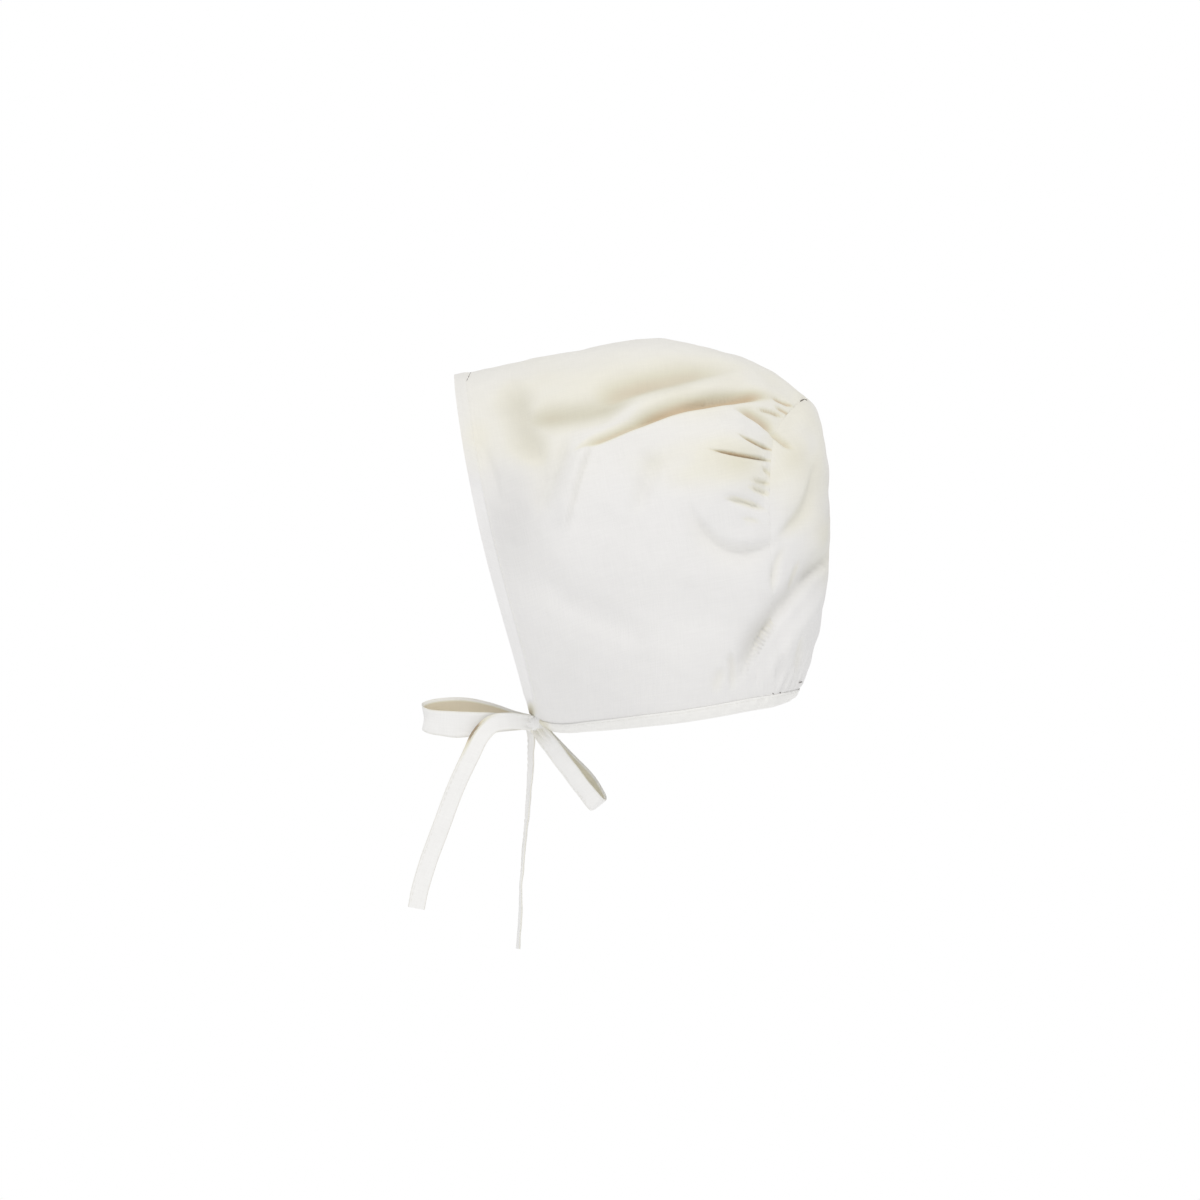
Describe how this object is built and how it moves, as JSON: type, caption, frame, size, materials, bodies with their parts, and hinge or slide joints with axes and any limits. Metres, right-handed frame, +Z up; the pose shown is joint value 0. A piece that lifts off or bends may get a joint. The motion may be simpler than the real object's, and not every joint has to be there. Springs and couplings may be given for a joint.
{
  "type": "baby bonnet",
  "caption": "Soft cloth bonnet for a baby, with a gathered horseshoe back, a bound neck edge and ties fastened in a bow at the front corner.",
  "frame": {"origin": "inside of the crown, at the middle of its top, where it sits on the head", "axes": "-X towards the face opening, -Y towards the side with the bow, +Z up"},
  "size_m": [0.1767, 0.1298, 0.2558],
  "materials": {
    "cloth": "matt plain weave, undyed",
    "tape": "matt plain weave, undyed"
  },
  "bodies": {
    "root": {"main_panel": "cloth", "back_panel": "cloth", "neck_binding": "tape", "bow_knot": "tape", "tie_far": "tape", "loop_front": "tape", "loop_rear": "tape", "tail_front": "tape", "tail_rear": "tape"}
  },
  "joints": []
}
